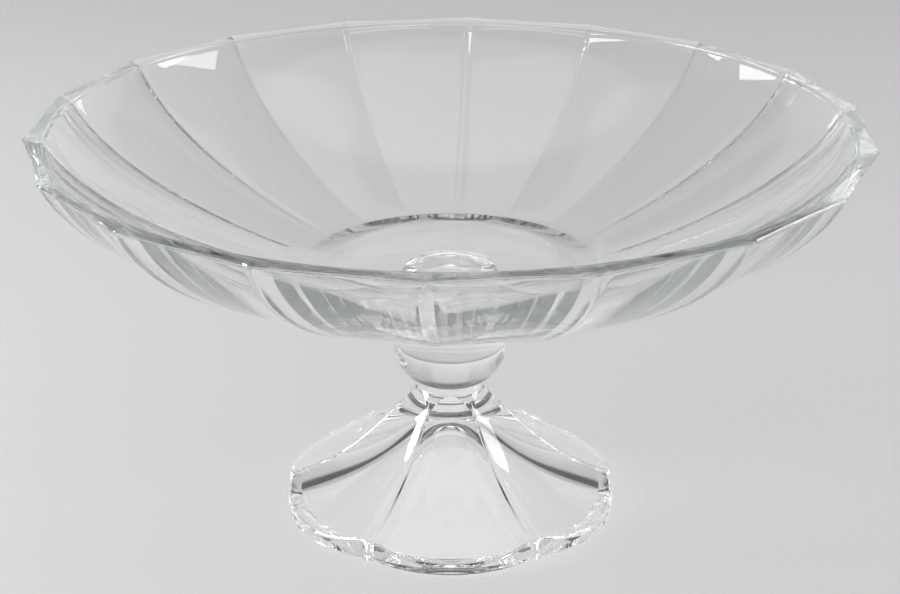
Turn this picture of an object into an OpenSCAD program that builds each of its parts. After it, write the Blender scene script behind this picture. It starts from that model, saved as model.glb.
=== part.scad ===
// Footed bowl in clear pressed glass: a wide panelled bowl, and a fluted foot with a
// knop on top, bonded together by a thin clear film. Lengths in millimetres, +Z up,
// the foot rests on z = 0 and the axis of the whole object is the Z axis.

/* [Bowl] */
// Width of the rim across opposite corners
rim_w = 300; // [260:2:340]
// Number of flat panels round the outside
panels = 18; // [14:2:24]
// Depth from the rim down to the flat underside
bowl_depth = 60; // [52:1:70]
// Width of the flat underside across opposite corners
underside_w = 112; // [90:1:130]
// Wall thickness at a corner of the rim
rim_wall = 7.7; // [5.5:0.1:10]
// Thickness of the floor in the middle
floor_wall = 7; // [5:0.5:12]
// Width of the flat disc of the floor, inside
floor_w = 78; // [60:1:90]
// Lean of the outside at the rim, from the vertical, in degrees
rim_lean = 24; // [15:1:35]
// Climb of the outside where it leaves the underside, in degrees
base_climb = 18.6; // [12:0.2:24]
// Height of the small bevel round the outside of the rim
rim_bevel = 1; // [0.4:0.1:2]
// Turn of a corner of the rim from the middle of the foot's right side, in degrees
bowl_turn = 6.3; // [0:0.1:20]

/* [Joint] */
// Width of the bonded disc between the knop and the bowl
joint_w = 33.6; // [26:0.2:38]
// Thickness of the clear adhesive
film_t = 0.2; // [0.1:0.05:0.5]

/* [Knop] */
// Width of the knop at its waist
knop_w = 41.8; // [38:0.2:52]
// Height of the knop from its underside to the bonded disc
knop_h = 40.5; // [32:0.5:50]
// Height of the upright band at the knop's waist
waist_h = 10; // [4:0.5:14]
// Radius that rounds the knop's underside
knop_round = 14.5; // [10:0.5:16]

/* [Foot] */
// Number of flutes round the foot
flutes = 6; // [5:1:8]
// Width of the foot across the middle of two opposite flutes
foot_w = 127.4; // [110:0.2:140]
// Height of the foot where it meets the knop
foot_h = 47.5; // [42:0.5:56]
// Width of the neck between the foot and the knop
neck_w = 25.4; // [22:0.2:30]
// Height of the ridges at the rim of the foot
ridge_rim_h = 9.5; // [7:0.5:12]
// Height of the middle of a flute at the rim of the foot
flute_rim_h = 4.4; // [3:0.2:6]
// Depth of a flute just under its arched top
flute_top_depth = 1.6; // [0.5:0.1:2.5]
// How far the arched top of a flute reaches down a ridge, as a share of its length
arch_share = 0.2; // [0.1:0.05:0.4]
// Fall of a ridge where it leaves the neck, in degrees
ridge_top_fall = 58; // [50:1:62]
// Fall of a ridge where it reaches the rim, in degrees
ridge_rim_fall = 11.7; // [8:0.1:16]
// Radius of the rounded edge of one lobe of the foot, seen from above
lobe_round = 43.7; // [40:0.1:55]
// Width of the small rounded knuckle at the end of each ridge
knuckle_w = 4.4; // [3:0.2:6]
// How far a knuckle stands out of the foot's edge
knuckle_out = 1.6; // [0.5:0.1:2.5]
// Height of the hollow inside the foot
hollow_h = 28; // [20:0.5:32]
// Width of the ring that the foot stands on, at its narrowest
rest_w = 4.5; // [3:0.1:8]

/* [Hidden] */
$fn = 96;
slack = 1;                       // how far a cutter runs past what it cuts

film_z = foot_h + knop_h;        // top of the knop, underside of the film
bowl_z = film_z + film_t;        // underside of the bowl
rim_z = bowl_z + bowl_depth;     // top of the rim, total height of the object

// A point on the cubic curve with the corners p, at t from 0 to 1
function cubic(p, t) = pow(1 - t, 3) * p[0] + 3 * t * pow(1 - t, 2) * p[1]
    + 3 * t * t * (1 - t) * p[2] + pow(t, 3) * p[3];

// ---- Bowl: radius and height of its outside and inside, measured from its underside

profile_steps = 22;
rim_r = rim_w / 2;
underside_r = underside_w / 2;
inner_rim_r = rim_r - rim_wall;
flat_share = cos(180 / panels);  // middle of a panel, as a share of its corner radius
climb_hold = 39;                 // how far the climb holds before the wall turns up
lean_hold = 33;                  // how far down the outside the lean at the rim holds
inner_hold = 32;                 // the same on the inside
inner_lean = rim_lean + 3;       // the inside leans a little more
floor_hold = 26;                 // how far past the flat disc the level of the floor holds
outside_curve = [
    [underside_r, 0],
    [underside_r + climb_hold * cos(base_climb), climb_hold * sin(base_climb)],
    [rim_r - lean_hold * sin(rim_lean), bowl_depth - lean_hold * cos(rim_lean)],
    [rim_r, bowl_depth],
];
outside = [for (i = [0:profile_steps]) cubic(outside_curve, i / profile_steps)];
inside_curve = [
    [floor_w / 2, floor_wall],
    [floor_w / 2 + floor_hold, floor_wall],
    [inner_rim_r - inner_hold * sin(inner_lean), bowl_depth - inner_hold * cos(inner_lean)],
    [inner_rim_r, bowl_depth],
];
inside = [for (i = [0:profile_steps]) cubic(inside_curve, i / profile_steps)];

// One straight bar with the bowl's section: as many of them as there are pairs of
// panels, turned and crossed, leave the panelled outside
module panel_bar() {
    bevelled = concat([for (p = outside) if (p[1] < bowl_depth - rim_bevel) p],
        [[rim_r - 0.1 * rim_bevel, bowl_depth - rim_bevel], [rim_r - rim_bevel, bowl_depth]]);
    half = [for (p = bevelled) [p[0] * flat_share, p[1]]];
    other = [for (i = [len(half) - 1:-1:0]) [-half[i][0], half[i][1]]];
    rotate([90, 0, 0])
        linear_extrude(height = 2 * rim_w, center = true) polygon(concat(half, other));
}

module bowl_hollow() {
    rotate_extrude()
        polygon(concat([[0, floor_wall]], inside,
            [[inner_rim_r, bowl_depth + slack], [0, bowl_depth + slack]]));
}

module bowl() {
    color([0.86, 0.90, 0.90, 0.35])
    translate([0, 0, bowl_z]) rotate([0, 0, bowl_turn + 180 / panels])
    difference() {
        intersection_for (k = [0:panels / 2 - 1])
            rotate([0, 0, k * 360 / panels]) panel_bar();
        bowl_hollow();
    }
}

module adhesive_film() {
    color([0.95, 0.96, 0.90, 0.5])
    translate([0, 0, film_z]) cylinder(h = film_t, d = joint_w);
}

// ---- Pedestal: the fluted foot and the knop, pressed in one

foot_r = foot_w / 2;
neck_r = neck_w / 2;
lobe_offset = foot_r - lobe_round;          // centre of a lobe's rounded edge
half_flute = 180 / flutes;
ridge_r = lobe_offset * cos(half_flute)
    + sqrt(pow(lobe_round, 2) - pow(lobe_offset * sin(half_flute), 2));
foot_steps = 18;                 // steps down one flute, closer together at its top
step_growth = 1.3;               // how much the steps spread out further down
flute_steps = 20;                // steps across one flute, closer together at its ridges
turn_steps = flute_steps * flutes;
edge_round = 1.2;                // bevel along the foot's upper edge
cap_z = foot_h + 2;              // the fluted skin closes inside the knop
knuckle_turn = knuckle_w / ridge_r * 90 / PI;  // half a knuckle, as an angle
neck_z = foot_h - 1;             // where the ridges leave the neck, just inside the knop
ridge_top_hold = 11;             // how far the fall at the neck holds
ridge_rim_hold = 21.3;           // how far back from the rim the fall there holds
ridge_curve = [
    [neck_r, neck_z],
    [neck_r + ridge_top_hold * cos(ridge_top_fall), neck_z - ridge_top_hold * sin(ridge_top_fall)],
    [ridge_r - ridge_rim_hold * cos(ridge_rim_fall),
        ridge_rim_h + ridge_rim_hold * sin(ridge_rim_fall)],
    [ridge_r, ridge_rim_h],
];

// Angles of the points round the foot, each with its angle from the middle of its flute
turns = [for (f = [0:flutes - 1]) for (j = [0:flute_steps - 1])
    let (b = half_flute * sin(180 * j / flute_steps - 90)) [f * 2 * half_flute + b, abs(b)]];

// How far a knuckle stands out of the edge
function knuckle(b) = let (k = (half_flute - b) / knuckle_turn)
    k < 1 ? knuckle_out * sqrt(1 - k * k) : 0;
// Radius of the foot's lobed edge at the angle b from the middle of a flute
function edge_r(b) = knuckle(b) + lobe_offset * cos(b)
    + sqrt(pow(lobe_round, 2) - pow(lobe_offset * sin(b), 2));
// Depth of a flute at t along its length: deepest in the middle, nothing at a ridge, and
// drawn out to nothing along an arch at its top
function flute_depth(b, t) = max(0, (1 - pow(b / half_flute, 2))
    * (flute_top_depth + t * (ridge_rim_h - flute_rim_h - flute_top_depth))
    - flute_top_depth * max(0, 1 - t / arch_share));
// A point of the fluted surface, as its radius and height
function skin(b, t) = let (p = cubic(ridge_curve, t))
    [neck_r + (p[0] - neck_r) * (edge_r(b) - neck_r) / (ridge_r - neck_r),
     p[1] - flute_depth(b, t)];

// The fluted outside as one closed skin: rings of points from inside the knop to the ground
module fluted_foot() {
    rings = concat(
        [[for (a = turns) [neck_r - 1, cap_z]]],
        [for (i = [0:foot_steps - 1]) [for (a = turns) skin(a[1], pow(i / foot_steps, step_growth))]],
        [[for (a = turns) [edge_r(a[1]) - edge_round / 2, skin(a[1], 1)[1]]]],
        [[for (a = turns) [edge_r(a[1]), skin(a[1], 1)[1] - edge_round]]],
        [[for (a = turns) [edge_r(a[1]), edge_round]]],
        [[for (a = turns) [edge_r(a[1]) - edge_round, 0]]]
    );
    count = len(rings);
    last = (count - 1) * turn_steps;
    points = concat(
        [for (ring = rings) for (j = [0:turn_steps - 1])
            [ring[j][0] * cos(turns[j][0]), ring[j][0] * sin(turns[j][0]), ring[j][1]]],
        [[0, 0, cap_z], [0, 0, 0]]);
    sides = [for (i = [0:count - 2]) for (j = [0:turn_steps - 1])
        let (k = (j + 1) % turn_steps, a = i * turn_steps, b = a + turn_steps)
        each [[a + j, a + k, b + k], [a + j, b + k, b + j]]];
    caps = [for (j = [0:turn_steps - 1]) let (k = (j + 1) % turn_steps, top = count * turn_steps)
        each [[top, k, j], [top + 1, last + j, last + k]]];
    polyhedron(points, concat(sides, caps));
}

module knop() {
    knop_r = knop_w / 2;
    joint_r = joint_w / 2;
    upper_h = knop_h - knop_round - waist_h;
    barrel_r = (pow(upper_h, 2) + pow(knop_r - joint_r, 2)) / (2 * (knop_r - joint_r));
    rotate_extrude() {
        // rounded underside
        intersection() {
            translate([knop_r - knop_round, knop_round]) circle(r = knop_round);
            square([knop_r, knop_round]);
        }
        square([knop_r - knop_round, knop_round]);
        // upright band
        translate([0, knop_round]) square([knop_r, waist_h]);
        // shoulder that draws in to the bonded disc
        intersection() {
            translate([knop_r - barrel_r, knop_round + waist_h]) circle(r = barrel_r);
            translate([0, knop_round + waist_h]) square([knop_r, upper_h]);
        }
    }
}

// Bell-shaped hollow under the foot
module foot_hollow() {
    hollow_r = ridge_r - rest_w;
    top_hold = 12;               // how far the level of its top holds
    rim_hold = 34.4;             // how far in from its edge the slope there holds
    rim_climb = 14.3;            // slope at its edge, in degrees
    hollow_curve = [
        [0, hollow_h],
        [top_hold, hollow_h],
        [hollow_r - rim_hold * cos(rim_climb), rim_hold * sin(rim_climb)],
        [hollow_r, 0],
    ];
    hollow = [for (i = [0:profile_steps]) cubic(hollow_curve, i / profile_steps)];
    rotate_extrude() polygon(concat(hollow, [[hollow_r, -slack], [0, -slack]]));
}

module pedestal() {
    color([0.84, 0.89, 0.90, 0.35])
    difference() {
        union() {
            rotate([0, 0, -90]) fluted_foot();
            translate([0, 0, foot_h]) knop();
        }
        foot_hollow();
    }
}

pedestal();
adhesive_film();
bowl();
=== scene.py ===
import math

import bpy
import numpy as np
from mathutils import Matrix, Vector


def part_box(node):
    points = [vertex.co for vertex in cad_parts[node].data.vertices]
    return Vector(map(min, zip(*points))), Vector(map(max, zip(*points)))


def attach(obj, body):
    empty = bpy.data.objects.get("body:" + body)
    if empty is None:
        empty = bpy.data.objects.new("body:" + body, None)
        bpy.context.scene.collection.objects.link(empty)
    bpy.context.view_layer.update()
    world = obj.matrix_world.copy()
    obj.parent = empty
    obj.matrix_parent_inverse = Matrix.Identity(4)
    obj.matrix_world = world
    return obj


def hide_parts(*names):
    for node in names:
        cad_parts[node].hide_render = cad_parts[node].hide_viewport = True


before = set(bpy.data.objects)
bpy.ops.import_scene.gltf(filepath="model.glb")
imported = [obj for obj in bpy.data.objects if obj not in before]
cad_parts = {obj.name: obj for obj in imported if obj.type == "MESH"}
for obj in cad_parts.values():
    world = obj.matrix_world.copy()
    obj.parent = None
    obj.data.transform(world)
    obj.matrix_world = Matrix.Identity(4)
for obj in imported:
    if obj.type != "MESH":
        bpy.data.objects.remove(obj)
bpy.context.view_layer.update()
mm = 0.001


def cadPoints(node):
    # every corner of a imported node's mesh, in metres
    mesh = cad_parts[node].data
    points = np.empty(len(mesh.vertices) * 3, np.float32)
    mesh.vertices.foreach_get("co", points)
    return points.reshape(-1, 3).astype(float)


def widest(points):
    # radius of the point furthest from the upright axis, and its angle
    reach = np.hypot(points[:, 0], points[:, 1])
    far = points[reach.argmax()]
    return reach.max(), math.atan2(far[1], far[0])


bowlBase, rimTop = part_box("bowl")[0].z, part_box("bowl")[1].z
filmBase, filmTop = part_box("adhesive_film")[0].z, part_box("adhesive_film")[1].z
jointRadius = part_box("adhesive_film")[1].x
rimRadius, rimAngle = widest(cadPoints("bowl"))
print("frame read: rim", round(rimRadius / mm, 1), "mm, height", round(rimTop / mm, 1), "mm")


# ---- curves and surfaces

def cubicCurve(corners, t):
    # points at t from 0 to 1 on the cubic curve with these four corners
    p = np.array(corners, float)
    t = np.asarray(t, float)[:, None]
    return (1 - t) ** 3 * p[0] + 3 * t * (1 - t) ** 2 * p[1] + 3 * t * t * (1 - t) * p[2] + t ** 3 * p[3]


def arcCurve(centre, radius, first, last, count):
    # points on a circle's arc, from one angle to another in degrees
    a = np.radians(np.linspace(first, last, count))
    return np.stack([centre[0] + radius * np.cos(a), centre[1] + radius * np.sin(a)], 1)


def closedPiece(name, rings, smoothBelow):
    # A closed surface from rings of points, one row to a ring. The first and the last ring are
    # single points. Each four neighbours make a face, and fans close the two ends.
    rows, columns = rings.shape[:2]
    points = np.concatenate([rings[:1, 0], rings[1:-1].reshape(-1, 3), rings[-1:, 0]])
    ids = 1 + np.arange((rows - 2) * columns).reshape(rows - 2, columns)
    here, below = ids[:-1], ids[1:]
    quads = np.stack([here, below, np.roll(below, -1, 1), np.roll(here, -1, 1)], -1).reshape(-1, 4)
    firstFan = np.stack([np.zeros(columns, int), ids[0], np.roll(ids[0], -1)], -1)
    lastFan = np.stack([np.full(columns, len(points) - 1), np.roll(ids[-1], -1), ids[-1]], -1)
    mesh = bpy.data.meshes.new(name)
    mesh.from_pydata(points.tolist(), [], firstFan.tolist() + quads.tolist() + lastFan.tolist())
    mesh.polygons.foreach_set("use_smooth", np.ones(len(mesh.polygons), bool))
    mesh.set_sharp_from_angle(angle=math.radians(smoothBelow))
    piece = bpy.data.objects.new(name, mesh)
    bpy.context.scene.collection.objects.link(piece)
    print(name, "made:", len(mesh.polygons), "faces")
    return piece


# ---- bowl

# a hold is how far a curve keeps near the slope that it has at that end
bowlShape = {
    "panels": 18,
    "undersideRadius": 56 * mm,
    "rimWall": 7.7 * mm,
    "floorWall": 7 * mm,
    "rimLean": 24,             # degrees from the vertical, outside
    "leanHold": 33 * mm,
    "baseClimb": 18.6,         # degrees above the level, outside
    "climbHold": 39 * mm,
    "innerLean": 27,           # degrees from the vertical, inside
    "innerHold": 32 * mm,
    "floorRadius": 39 * mm,    # the flat disc inside
    "floorHold": 26 * mm,
    "creaseRound": 2.5 * mm,   # rounding of the creases between the panels
    "beadHeight": 0.42 * mm,   # the pressed glass stands a little proud along each crease
    "beadReach": 1.7 * mm,
    "panelDip": 0.3 * mm,      # how far the middle of a panel sinks in
    "fullDip": 100 * mm,       # radius from which it sinks in that far
    "panelFade": 9 * mm,       # the panels run out into the round edge of the underside
    "rimBevel": 1 * mm,
    "rimEdge": [(1, 0), (1 / 2, 1 / 7), (1 / 10, 0.6)],    # inward and down, in bevels
    "innerRound": 1.2 * mm,
    "baseRound": 1 * mm,
    "baseEdge": [(1 / 3, 1 / 20), (-0.6, 0), (-3, 0)],     # outward and up, in base rounds
    "undersideRings": [1.3, 1, 0.5, 0],                    # in radii of the joint
    "smoothBelow": 26,         # degrees, past which an edge shows as an edge
    "columns": 24,             # faces across a panel
    "rows": 104,
    "insideRows": 56,
    "floorRows": 7,
    "rimRows": 5,
    "creaseZone": 3.6 * mm,    # the faces are finest this near a crease
    "widestZone": 0.6,         # as a share of half a panel
    "plainFaces": 1 / 3,       # share of the faces that lie outside that zone
}


def bowlProfile(s):
    # Radius and height of each ring, from the middle of the floor up the round inside, over the
    # rim, down the panelled outside and in to the middle of the underside. With it goes how far
    # each ring is panelled, from 0 to 1.
    depth = rimTop - bowlBase
    inner, edge = rimRadius - s["rimWall"], s["undersideRadius"]
    bevel, inRound, base = s["rimBevel"], s["innerRound"], s["baseRound"]
    lean, climb, innerLean = (math.radians(s[k]) for k in ("rimLean", "baseClimb", "innerLean"))
    floorRadii = np.linspace(0, s["floorRadius"], s["floorRows"] + 1)[:-1]
    floor = np.stack([floorRadii, np.full_like(floorRadii, s["floorWall"])], 1)
    inside = cubicCurve([
        [s["floorRadius"], s["floorWall"]],
        [s["floorRadius"] + s["floorHold"], s["floorWall"]],
        [inner - s["innerHold"] * math.sin(innerLean), depth - s["innerHold"] * math.cos(innerLean)],
        [inner, depth],
    ], np.linspace(0, 1, s["insideRows"]))
    inside = inside[inside[:, 1] < depth - inRound]
    rimInside = arcCurve((inner + inRound, depth - inRound), inRound, 180, 90, s["rimRows"])
    rimOutside = [[rimRadius - bevel * inward, depth - bevel * down] for inward, down in s["rimEdge"]]
    outside = cubicCurve([
        [edge, 0],
        [edge + s["climbHold"] * math.cos(climb), s["climbHold"] * math.sin(climb)],
        [rimRadius - s["leanHold"] * math.sin(lean), depth - s["leanHold"] * math.cos(lean)],
        [rimRadius, depth],
    ], np.linspace(1, 0, s["rows"]))
    outside = outside[(outside[:, 1] < depth - bevel) & (outside[:, 0] > edge + base)]
    underside = [[edge + base * outward, base * up] for outward, up in s["baseEdge"]]
    underside += [[jointRadius * share, 0] for share in s["undersideRings"]]
    fade = np.clip((outside[:, 0] - edge) / s["panelFade"], 0, 1)
    parts = ((floor, 0), (inside, 0), (rimInside, 0), (rimOutside, 1),
             (outside, fade * fade * (3 - 2 * fade)), (underside, 0))
    profile = np.concatenate([points for points, share in parts])
    return profile, np.concatenate([np.broadcast_to(share, len(points)) for points, share in parts])


def bowlRings(s):
    # Radius of a panelled ring = the polygon's flat side, or the arc that rounds its corner, less
    # the dip of the panel and the height of the bead, which comes back along the crease.
    profile, panelled = bowlProfile(s)
    radius, panelled = profile[:, :1], panelled[:, None]
    half = math.pi / s["panels"]
    zone = np.minimum(s["creaseZone"] / np.maximum(radius, s["creaseZone"]), half * s["widestZone"])
    # even steps across the middle of a panel, and finer ones in the zones beside its creases
    step, plain = np.linspace(-1, 1, s["columns"] + 1)[:-1], s["plainFaces"]
    across = np.sign(step) * np.where(
        abs(step) < plain, abs(step) / plain * (half - zone), half - zone * (1 - abs(step)) / (1 - plain))
    local = np.tile(across, (1, s["panels"]))
    panelTurn = np.repeat(np.arange(s["panels"]) * 2 * half, s["columns"])

    apothem = radius * math.cos(half)
    centre = (apothem - s["creaseRound"]) / math.cos(half)   # of the arc that rounds a crease
    fromCrease = half - abs(local)
    arc = centre * np.cos(fromCrease) + np.sqrt(
        np.clip(s["creaseRound"] ** 2 - (centre * np.sin(fromCrease)) ** 2, 0, None))
    roundedTo = half - np.arctan2(centre * math.sin(half), apothem)
    side = np.where(fromCrease < roundedTo, arc, apothem / np.cos(local))
    dip = np.cos(local / half * math.pi / 2) ** 2 * np.clip(radius / s["fullDip"], 0, 1) * s["panelDip"]
    bead = s["beadHeight"] * np.exp(-(fromCrease * radius / s["beadReach"]) ** 2)
    ring = radius * (1 - panelled) + (side - dip - s["beadHeight"] + bead) * panelled
    angle = panelTurn + local + half + rimAngle
    height = np.broadcast_to(profile[:, 1:] + bowlBase, ring.shape)
    return np.stack([ring * np.cos(angle), ring * np.sin(angle), height], -1)


# ---- pedestal

footShape = {
    "flutes": 6,
    "width": 127.4 * mm,
    "height": 47.5 * mm,
    "neckRadius": 12.7 * mm,
    "neckDrop": 1 * mm,
    "neckGap": 0.3 * mm,
    "lobeRound": 43.7 * mm,    # the edge swells out between the ridges
    "knuckleWidth": 4.4 * mm,  # and has a small knuckle at the end of each ridge
    "knuckleOut": 1.6 * mm,
    "ridgeRimHeight": 9.5 * mm,
    "ridgeTopFall": 58,        # degrees below the level
    "ridgeTopHold": 11 * mm,
    "ridgeRimFall": 11.7,
    "ridgeRimHold": 21.3 * mm,
    "crestTop": 0.03,          # rounding of the ridges, as a share of half a flute
    "crestRim": 0.14,
    "fluteRimHeight": 4.4 * mm,
    "fluteTopDepth": 1.6 * mm,
    "archStart": 0.012,        # the arches start just below the knop
    "archShare": 0.2,          # and end this share of the ridge lower
    "edgeRound": 1.2 * mm,
    "upperEdge": [(1 / 2, -1 / 24), (0.12, 0.4), (0, 1)],  # inward and down, in edge rounds
    "lowerEdge": [(0, 1), (0.3, 0.3), (1, 0)],             # inward and up from the table
    "hollowHeight": 28 * mm,
    "hollowTopHold": 12 * mm,
    "hollowRimHold": 34.4 * mm,
    "hollowRimClimb": 14.3,    # degrees above the level
    "restWidth": 4.5 * mm,     # the ring that it stands on
    "knopWidth": 41.8 * mm,
    "knopRound": 14.5 * mm,
    "waistHeight": 10 * mm,    # the upright band round the knop
    "jointBevel": 0.5 * mm,
    "topRings": [0, 0.5],      # in radii of the joint
    "smoothBelow": 14,         # degrees, past which an edge shows as an edge
    "columns": 40,             # faces across a flute
    "ridgeCrowding": 0.6,      # how far the columns crowd towards the ridges
    "rows": 90,
    "rowGrowth": 1.3,          # the rows get taller down the foot
    "archRows": 14,
    "shoulderRows": 16,
    "knopRows": 30,
    "hollowRows": 60,
}


def knopProfile(s):
    # the knop, from the middle of its flat top down to the neck: a slight arc, an upright band
    # and a quarter round
    knop, top, below = s["knopWidth"] / 2, filmBase, s["knopRound"]
    shoulder = top - s["height"] - below - s["waistHeight"]
    bend = (shoulder ** 2 + (knop - jointRadius) ** 2) / (2 * (knop - jointRadius))
    steepest = math.degrees(math.asin(shoulder / bend))
    upper = arcCurve((knop - bend, top - shoulder), bend, steepest, 0, s["shoulderRows"])
    upper = upper[upper[:, 1] < top - s["jointBevel"]]
    lower = arcCurve((knop - below, s["height"] + below), below, 0, -90, s["knopRows"])
    lower = lower[lower[:, 0] > s["neckRadius"] + s["neckGap"]]
    disc = [[jointRadius * share, top] for share in s["topRings"]]
    return np.concatenate([disc, [[jointRadius - s["jointBevel"], top]], upper, lower])


def pedestalRings(s):
    # Radius of a ring of the foot = the ridge's radius, stretched to the lobed edge. Its height =
    # the ridge's height, less D * (1 - u * u) - A where that is above 0. Here u is 0 in the
    # middle of a flute and 1 at a ridge, D grows towards the rim, and A fades out below the neck,
    # which leaves an arch at the top of each flute. Within c of a ridge, 1 - u * u gives way to a
    # parabola that starts with the same slope and is level on the ridge: the crest is round there
    # and c * D lower.
    half = math.pi / s["flutes"]
    neck = s["neckRadius"]
    offset = s["width"] / 2 - s["lobeRound"]
    step, crowding = np.linspace(-1, 1, s["columns"] + 1)[:-1], s["ridgeCrowding"]
    across = (crowding * np.sin(step * math.pi / 2) + (1 - crowding) * step) * half
    turn = (np.arange(s["flutes"])[:, None] * 2 * half + across).ravel()
    local = np.tile(abs(across), s["flutes"])
    share = local / half

    def lobe(angle):
        return offset * np.cos(angle) + np.sqrt(s["lobeRound"] ** 2 - (offset * np.sin(angle)) ** 2)

    def turned(profile):
        # rings of a plain turned surface: its radius and height, the same all round
        profile = np.array(profile, float)[:, :, None]
        return np.broadcast_to(profile, profile.shape[:2] + turn.shape)

    ridge = lobe(half)
    fromRidge = (half - local) / (s["knuckleWidth"] / 2 / ridge)
    edge = lobe(local) + s["knuckleOut"] * np.sqrt(np.clip(1 - fromRidge ** 2, 0, 1))

    slopes = ("ridgeTopFall", "ridgeRimFall", "hollowRimClimb")
    topFall, rimFall, climb = (math.radians(s[k]) for k in slopes)
    rimHeight, neckHeight = s["ridgeRimHeight"], s["height"] - s["neckDrop"]
    ridgeCorners = [
        [neck, neckHeight],
        [neck + s["ridgeTopHold"] * math.cos(topFall), neckHeight - s["ridgeTopHold"] * math.sin(topFall)],
        [ridge - s["ridgeRimHold"] * math.cos(rimFall), rimHeight + s["ridgeRimHold"] * math.sin(rimFall)],
        [ridge, rimHeight],
    ]
    topDepth = s["fluteTopDepth"]
    growth = rimHeight - s["fluteRimHeight"] - topDepth
    # how far down the ridge each flute begins
    archAt = s["archStart"] + share ** 2 * topDepth / ((1 - share ** 2) * growth + topDepth / s["archShare"])
    above = archAt[None, :] * np.linspace(0, 1, s["archRows"] + 1)[:-1, None]
    down = np.linspace(0, 1, s["rows"])[:, None] ** s["rowGrowth"]
    t = np.concatenate([above, archAt + (1 - archAt) * down])     # 0 at the neck, 1 at the rim
    ridgeLine = cubicCurve(ridgeCorners, t.ravel()).reshape(t.shape + (2,))
    crest = s["crestTop"] + (s["crestRim"] - s["crestTop"]) * t   # the c above
    into = np.clip((share - 1 + crest) / crest, 0, 1)
    dish = 1 - np.minimum(share, 1 - crest) ** 2 - (1 - crest) * crest * (2 * into - into ** 2)
    arch = topDepth * np.clip(1 - (t - s["archStart"]) / s["archShare"], 0, 1)
    depth = np.clip(dish * (topDepth + t * growth) - arch, 0, None)
    radius = neck + (ridgeLine[..., 0] - neck) * (edge - neck) / (ridge - neck)
    height = ridgeLine[..., 1] - depth

    e, end = s["edgeRound"], height[-1]
    flutes = np.stack([radius, height], 1)[:-1]
    upperEdge = np.stack([[edge - e * inward, end - e * fall] for inward, fall in s["upperEdge"]])
    lowerEdge = np.stack([[edge - e * inward, np.full_like(edge, e * up)] for inward, up in s["lowerEdge"]])
    hollowEdge = ridge - s["restWidth"]
    hollow = cubicCurve([
        [0, s["hollowHeight"]],
        [s["hollowTopHold"], s["hollowHeight"]],
        [hollowEdge - s["hollowRimHold"] * math.cos(climb), s["hollowRimHold"] * math.sin(climb)],
        [hollowEdge, 0],
    ], np.linspace(1, 0, s["hollowRows"]))
    rings = np.concatenate([turned(knopProfile(s)), flutes, upperEdge, lowerEdge, turned(hollow)])
    angle = turn - math.pi / 2
    return np.stack([rings[:, 0] * np.cos(angle), rings[:, 0] * np.sin(angle), rings[:, 1]], -1)


# ---- adhesive film

filmShape = {
    "edgeRound": 0.06 * mm,
    "middleRing": 0.5,         # in radii of the joint
    "smoothBelow": 30,
    "columns": 96,
}


def filmRings(s):
    # a flat disc with a bevelled edge, from the middle of its top to the middle of its base
    e, middle = s["edgeRound"], jointRadius * s["middleRing"]
    profile = np.array([[0, filmTop], [middle, filmTop], [jointRadius - e, filmTop],
                        [jointRadius, filmTop - e], [jointRadius, filmBase + e],
                        [jointRadius - e, filmBase], [middle, filmBase], [0, filmBase]])
    angle = np.linspace(0, 2 * math.pi, s["columns"] + 1)[:-1]
    radius, height = profile[:, :1], np.broadcast_to(profile[:, 1:], (len(profile), len(angle)))
    return np.stack([radius * np.cos(angle), radius * np.sin(angle), height], -1)


# ---- shaders

class socketMaths:
    # a node's output that can be added, multiplied and compared like a number
    def __init__(self, tree, socket):
        self.tree, self.socket = tree, socket

    def maths(self, operation, *values):
        return self.tree.node("ShaderNodeMath", {"operation": operation}, dict(enumerate(values)))

    def __add__(self, other):
        return self.maths("ADD", self, other)

    def __sub__(self, other):
        return self.maths("SUBTRACT", self, other)

    def __rsub__(self, other):
        return self.maths("SUBTRACT", other, self)

    def __mul__(self, other):
        return self.maths("MULTIPLY", self, other)

    __radd__, __rmul__ = __add__, __mul__

    def below(self, other):
        return self.maths("LESS_THAN", self, other)

    def eased(self, start, end, low, high):
        # low up to start, high from end on, and an S-curve between them
        return self.tree.node("ShaderNodeMapRange", {"interpolation_type": "SMOOTHSTEP"}, {
            0: self, 1: start, 2: end, 3: low, 4: high})


class nodeTree:
    def __init__(self, owner):
        owner.use_nodes = True
        self.nodes, self.links = owner.node_tree.nodes, owner.node_tree.links
        self.nodes.clear()

    def node(self, kind, settings=None, inputs=None, output=0):
        # A new node with its settings, and then the values or links of its sockets. It gives one
        # output, or a list of them where output is a tuple.
        new = self.nodes.new(kind)
        for key, value in (settings or {}).items():
            setattr(new, key, value)
        for key, value in (inputs or {}).items():
            if isinstance(value, socketMaths):
                self.links.new(value.socket, new.inputs[key])
            else:
                new.inputs[key].default_value = value
        if isinstance(output, tuple):
            return [socketMaths(self, new.outputs[key]) for key in output]
        return socketMaths(self, new.outputs[output]) if len(new.outputs) else None


def grey(level):
    return (level, level, level, 1)


def fromAxis(tree, place):
    # how far a point lies from the upright axis
    flat = tree.node("ShaderNodeVectorMath", {"operation": "MULTIPLY"}, {0: place, 1: (1, 1, 0)})
    return tree.node("ShaderNodeVectorMath", {"operation": "LENGTH"}, {0: flat}, output=1)


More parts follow.
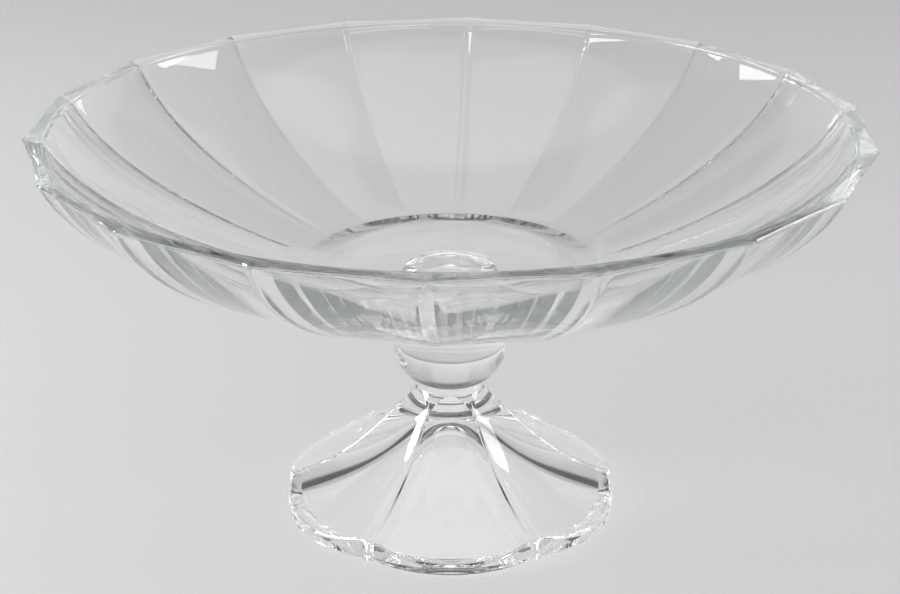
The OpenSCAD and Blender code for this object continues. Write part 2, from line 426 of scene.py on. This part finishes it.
glassFinish = {
    "colour": (0.99, 0.992, 0.99, 1),
    "ior": 1.52,
    "softness": 0.015,         # roughness of the fire-polished skin
    "waveSize": 26 * mm,       # soft waves of the pressed surface
    "waveHeight": 0.01 * mm,
    "waveDetail": 1.0,
    "waveGrain": 0.4,
    "wornTo": 0.02 * mm,       # height of the worn ring that the foot stands on
    "scuffScale": 900.0,
    "scuffDetail": 3.0,
    "scuffFrom": 0.62,         # the noise is a scuff from this level up
    "scuffRough": 0.3,
    "bondInset": 0.4 * mm,     # the bonded disc ends this far inside the joint
    "bondReach": 0.15 * mm,    # and goes this far up and down from the film's middle
    "bodyColour": (0.90, 0.902, 0.902, 1),                 # tint of the glass in its depth
}
# the shadow tint is the light that each surface lets through to the floor, and the density per
# metre turns long ways through the glass grey. The foot's tint is above 1, so it lets through more light
# than reaches it: painted light, a brighter pool on the floor where the lamps and the sweep shine through
# the foot, in place of the light that the glass would focus there
bowlFinish = dict(glassFinish, shadowTint=0.95, density=20)
footFinish = dict(glassFinish, shadowTint=1.08, density=8)


def glassMaterial(name, finish):
    material = bpy.data.materials.new(name)
    tree = nodeTree(material)
    place = tree.node("ShaderNodeTexCoord", output=3)
    height = tree.node("ShaderNodeSeparateXYZ", None, {0: place}, output=2)
    waves = tree.node("ShaderNodeTexNoise", None, {
        "Vector": place, "Scale": 1 / finish["waveSize"], "Detail": finish["waveDetail"],
        "Roughness": finish["waveGrain"]})
    bump = tree.node("ShaderNodeBump", None, {
        "Height": waves, "Distance": finish["waveHeight"], "Strength": 1.0})
    scuffs = tree.node("ShaderNodeTexNoise", None, {
        "Vector": place, "Scale": finish["scuffScale"], "Detail": finish["scuffDetail"]})
    worn = height.below(finish["wornTo"]) * (1 - scuffs.below(finish["scuffFrom"]))
    glass = tree.node("ShaderNodeBsdfPrincipled", None, {
        "Base Color": finish["colour"], "Roughness": worn * finish["scuffRough"] + finish["softness"],
        "IOR": finish["ior"], "Transmission Weight": 1.0, "Normal": bump})
    # lamps and the sweep reach the floor through the glass
    # where the tint is above 1, as on the foot, this paints extra light on the floor whose light comes
    # through the glass
    clear = tree.node("ShaderNodeBsdfTransparent", None, {"Color": grey(finish["shadowTint"])})
    shadow, diffuse = tree.node("ShaderNodeLightPath", output=("Is Shadow Ray", "Is Diffuse Ray"))
    outside = tree.node("ShaderNodeMixShader", None, {
        0: shadow.maths("MAXIMUM", shadow, diffuse), 1: glass, 2: clear})
    # the bonded disc has glass on both sides, so light goes straight on
    middle, reach = (filmBase + filmTop) / 2, finish["bondReach"]
    level = height.below(middle + reach) * (1 - height.below(middle - reach))
    bonded = fromAxis(tree, place).below(jointRadius - finish["bondInset"]) * level
    straightOn = tree.node("ShaderNodeBsdfTransparent", None, {"Color": grey(1.0)})
    surface = tree.node("ShaderNodeMixShader", None, {0: bonded, 1: outside, 2: straightOn})
    body = tree.node("ShaderNodeVolumeAbsorption", None, {
        "Color": finish["bodyColour"], "Density": finish["density"]})
    tree.node("ShaderNodeOutputMaterial", None, {0: surface, 1: body})
    return material


filmFinish = {
    "clear": 0.995,
    "hazeColour": (0.93, 0.94, 0.92, 1),
    "hazeRough": 0.35,
    "edgeWidth": 1.2 * mm,     # the squeezed-out edge is a little hazy
    "edgeHaze": 0.10,
    "speckScale": 260.0,
    "speckOutside": 0.10,      # from a cell's middle, in cells
    "speckInside": 0.05,
    "speckHaze": 0.12,
}


def adhesiveMaterial(name, finish):
    # clear adhesive, with a faint haze in its squeezed-out edge and a few specks
    material = bpy.data.materials.new(name)
    tree = nodeTree(material)
    place = tree.node("ShaderNodeTexCoord", output=3)
    edge = fromAxis(tree, place).eased(
        jointRadius - finish["edgeWidth"], jointRadius, 0.0, finish["edgeHaze"])
    cells = tree.node("ShaderNodeTexVoronoi", {"feature": "F1"}, {
        "Vector": place, "Scale": finish["speckScale"]})
    specks = tree.node("ShaderNodeMapRange", None, {
        0: cells, 1: finish["speckOutside"], 2: finish["speckInside"], 3: 0.0, 4: finish["speckHaze"]})
    haze = tree.node("ShaderNodeBsdfPrincipled", None, {
        "Base Color": finish["hazeColour"], "Roughness": finish["hazeRough"]})
    clear = tree.node("ShaderNodeBsdfTransparent", None, {"Color": grey(finish["clear"])})
    mixed = tree.node("ShaderNodeMixShader", None, {0: edge + specks, 1: clear, 2: haze})
    tree.node("ShaderNodeOutputMaterial", None, {0: mixed})
    return material


# ---- the three pieces

bowl = closedPiece("glassBowl", bowlRings(bowlShape), bowlShape["smoothBelow"])
bowl.data.materials.append(glassMaterial("bowlGlass", bowlFinish))
pedestal = closedPiece("glassPedestal", pedestalRings(footShape), footShape["smoothBelow"])
pedestal.data.materials.append(glassMaterial("footGlass", footFinish))
film = closedPiece("adhesiveFilm", filmRings(filmShape), filmShape["smoothBelow"])
film.data.materials.append(adhesiveMaterial("clearAdhesive", filmFinish))

for piece, node, slot in ((bowl, "bowl", "clear_glass"), (pedestal, "pedestal", "foot_glass"),
                          (film, "adhesive_film", "clear_adhesive")):
    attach(piece, "root")
    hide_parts(node)


# ---- studio

view = {
    "elevation": 22.592,       # degrees above the level
    "turn": -0.8,              # degrees round the axis, from straight in front
    "distance": 705.87 * mm,
    "aim": 80.85 * mm,         # height on the axis that the camera faces
    "lens": 76.556,            # this and the sensor's width are in millimetres
    "sensor": 36,
    "nearest": 0.01,
    "furthest": 50,
}


def makeCamera(s):
    up, turn = math.radians(s["elevation"]), math.radians(s["turn"])
    data = bpy.data.cameras.new("camera")
    camera = bpy.data.objects.new("camera", data)
    bpy.context.scene.collection.objects.link(camera)
    level = s["distance"] * math.cos(up)
    camera.location = (level * math.sin(turn), -level * math.cos(turn),
                       s["aim"] + s["distance"] * math.sin(up))
    camera.rotation_euler = (math.pi / 2 - up, 0, turn)
    data.lens, data.sensor_width = s["lens"], s["sensor"]
    data.clip_start, data.clip_end = s["nearest"], s["furthest"]
    bpy.context.scene.camera = camera


studio = {
    "floorGrey": 0.62,
    "floorRough": 0.75,
    "floorSize": 8,
    "floorGap": 0.2 * mm,      # air under the foot's ring, as between any two hard flat faces
    "sweep": 0.78,             # light of the pale sweep all round
    "sweepFade": 0.8,          # it gets darker upwards
    "leftLift": 0.10,          # it is lighter on the left
    "room": 0.10,              # light of the dark room over it
    "ceiling": 1.0,
    "sweepTop": 0.515,         # where the sweep ends, as the sine of the height
    "tilt": 0.11,              # it ends lower behind than in front
    "ceilingFrom": 0.86,
    "edge": 0.03,              # half the width of each change
    "lampAim": (0, 0, 0.1),    # the place that the lamps face
    "lamps": {                 # place, width, height and watts
        "softboxLeft": ((-1.3, 0.0, 0.78), 0.62, 0.46, 16),
        "softboxRight": ((1.3, 0.08, 0.76), 0.74, 0.46, 7),
        "frontPanel": ((-0.3, -2.0, 1.05), 2.2, 1.2, 16),
    },
    "bounces": 80,             # light goes to and fro many times inside thick glass
    "clearBounces": 24,
}


def makeFloor(s):
    size, level = s["floorSize"] / 2, -s["floorGap"]
    corners = [(-size, -size, level), (size, -size, level), (size, size, level), (-size, size, level)]
    mesh = bpy.data.meshes.new("floor")
    mesh.from_pydata(corners, [], [(0, 1, 2, 3)])
    floor = bpy.data.objects.new("floor", mesh)
    bpy.context.scene.collection.objects.link(floor)
    material = bpy.data.materials.new("paleSweep")
    tree = nodeTree(material)
    shade = tree.node("ShaderNodeBsdfPrincipled", None, {
        "Base Color": grey(s["floorGrey"]), "Roughness": s["floorRough"]})
    tree.node("ShaderNodeOutputMaterial", None, {0: shade})
    mesh.materials.append(material)


def makeLamps(s):
    for name, (place, width, height, watts) in s["lamps"].items():
        light = bpy.data.lights.new(name, "AREA")
        light.shape, light.size, light.size_y, light.energy = "RECTANGLE", width, height, watts
        lamp = bpy.data.objects.new(name, light)
        bpy.context.scene.collection.objects.link(lamp)
        lamp.location = place
        towards = Vector(s["lampAim"]) - Vector(place)
        lamp.rotation_euler = towards.to_track_quat("-Z", "Y").to_euler()


def makeSurroundings(s):
    # pale to the top of the sweep, dark above it, and a pale ceiling overhead
    world = bpy.data.worlds.new("studio")
    bpy.context.scene.world = world
    tree = nodeTree(world)
    towards = tree.node("ShaderNodeTexCoord", output=0)
    side, back, up = tree.node("ShaderNodeSeparateXYZ", None, {0: towards}, output=(0, 1, 2))

    def step(value, place, low, high):
        return value.eased(place - s["edge"], place + s["edge"], low, high)

    tilted = up + s["tilt"] * back
    pale = (s["sweep"] - side * s["leftLift"]) * (1 - up * s["sweepFade"])
    sweep = pale * step(tilted, s["sweepTop"], 1.0, 0.0)
    room = step(tilted, s["sweepTop"], 0.0, s["room"])
    ceiling = step(up, s["ceilingFrom"], 0.0, s["ceiling"] - s["room"])
    sky = tree.node("ShaderNodeBackground", None, {0: sweep + room + ceiling, 1: 1.0})
    tree.node("ShaderNodeOutputWorld", None, {0: sky})


def setRender(s):
    # long ways for the light in thick glass, and colours shown as they are
    scene = bpy.context.scene
    cycles = scene.cycles
    cycles.max_bounces = cycles.transmission_bounces = cycles.glossy_bounces = s["bounces"]
    cycles.transparent_max_bounces = s["clearBounces"]
    cycles.use_denoising = True
    cycles.caustics_refractive = cycles.caustics_reflective = False
    scene.view_settings.view_transform = "Standard"


makeCamera(view)
makeFloor(studio)
makeLamps(studio)
makeSurroundings(studio)
setRender(studio)
print("studio made")
